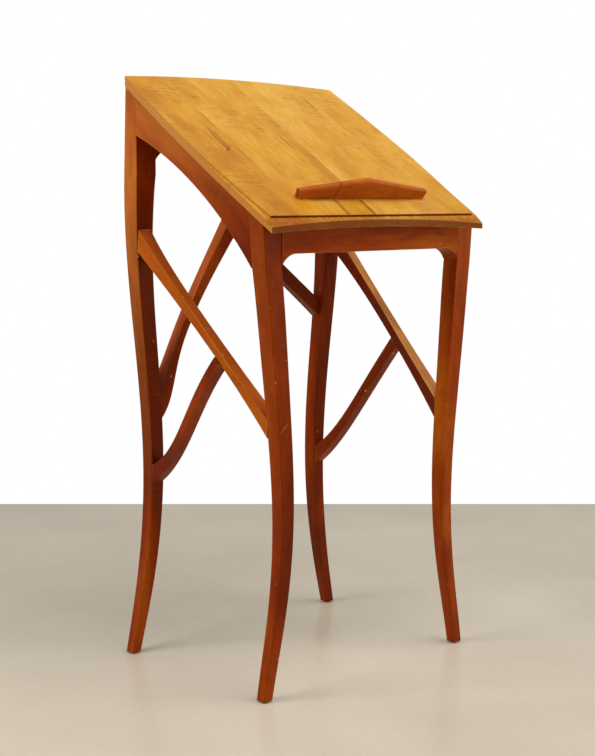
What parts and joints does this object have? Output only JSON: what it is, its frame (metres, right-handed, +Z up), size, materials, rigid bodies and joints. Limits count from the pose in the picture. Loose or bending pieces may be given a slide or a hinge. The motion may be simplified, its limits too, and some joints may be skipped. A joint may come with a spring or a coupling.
{
  "type": "atlas stand",
  "caption": "Free-standing wooden stand for reading atlases: sloping fielded top with a gabled book stop, sabre-curved legs, curved side braces and a diagonal back brace.",
  "frame": {"origin": "on the floor, under the middle of the stand's overall width and depth", "axes": "+Z up, +X to the right of a reader who stands at the stand, +Y away from the reader, so the low front edge of the top faces -Y"},
  "size_m": [0.6498, 0.5114, 1.3238],
  "materials": {
    "top_wood": "satin lacquer over golden curly hardwood",
    "frame_wood": "satin lacquer over red-brown stained hardwood",
    "stop_wood": "satin lacquer over red-brown hardwood",
    "dowel_wood": "plain beech, glued in",
    "button_wood": "plain hardwood, unfinished",
    "screw_steel": "bright zinc",
    "glide_steel": "dull nickel, worn"
  },
  "bodies": {
    "root": {"back_brace": "frame_wood", "back_rail": "frame_wood", "back_strut": "frame_wood", "book_stop": "stop_wood", "book_stop_dowels": "dowel_wood", "brace_dowels_back": "dowel_wood", "brace_dowels_left": "dowel_wood", "brace_dowels_right": "dowel_wood", "front_rail": "frame_wood", "glide_back_left": "glide_steel", "glide_back_right": "glide_steel", "glide_front_left": "glide_steel", "glide_front_right": "glide_steel", "leg_back_left": "frame_wood", "leg_back_right": "frame_wood", "leg_front_left": "frame_wood", "leg_front_right": "frame_wood", "side_brace_left": "frame_wood", "side_brace_right": "frame_wood", "side_rail_left": "frame_wood", "side_rail_right": "frame_wood", "side_strut_left": "frame_wood", "side_strut_right": "frame_wood", "top_buttons": "button_wood", "top_plank_inner_left": "top_wood", "top_plank_inner_right": "top_wood", "top_plank_outer_left": "top_wood", "top_plank_outer_right": "top_wood", "top_screws": "screw_steel"}
  },
  "joints": []
}
